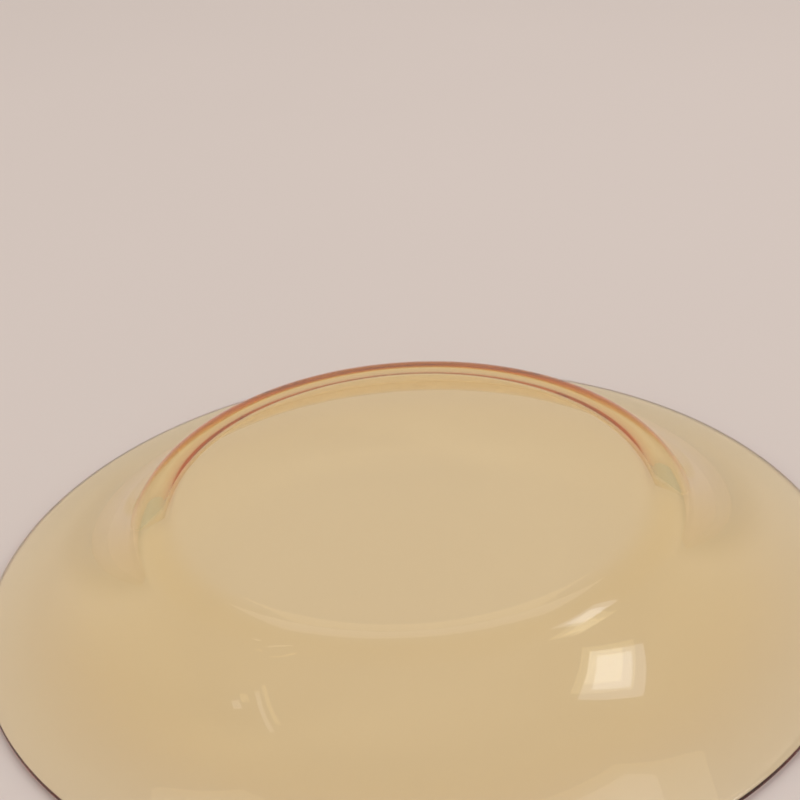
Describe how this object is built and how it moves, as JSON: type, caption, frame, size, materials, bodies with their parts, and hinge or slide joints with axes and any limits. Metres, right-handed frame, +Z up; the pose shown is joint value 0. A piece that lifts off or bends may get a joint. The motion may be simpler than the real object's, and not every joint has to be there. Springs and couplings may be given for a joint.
{
  "type": "deep plate",
  "caption": "Round deep plate of pale amber transparent glass with a flat base, rounded shoulder and wide flared rim, lying upside down on its rim.",
  "frame": {"origin": "centre of the circle that the rim rests on, at the level of the surface", "axes": "+Z up along the plate's axis of symmetry, from the rim towards the outside of the base"},
  "size_m": [0.26, 0.26, 0.0346],
  "materials": {
    "amber_glass": "clear, polished, pale amber tint that deepens to orange where light runs along the glass"
  },
  "bodies": {
    "root": {"glass_plate": "amber_glass"}
  },
  "joints": []
}
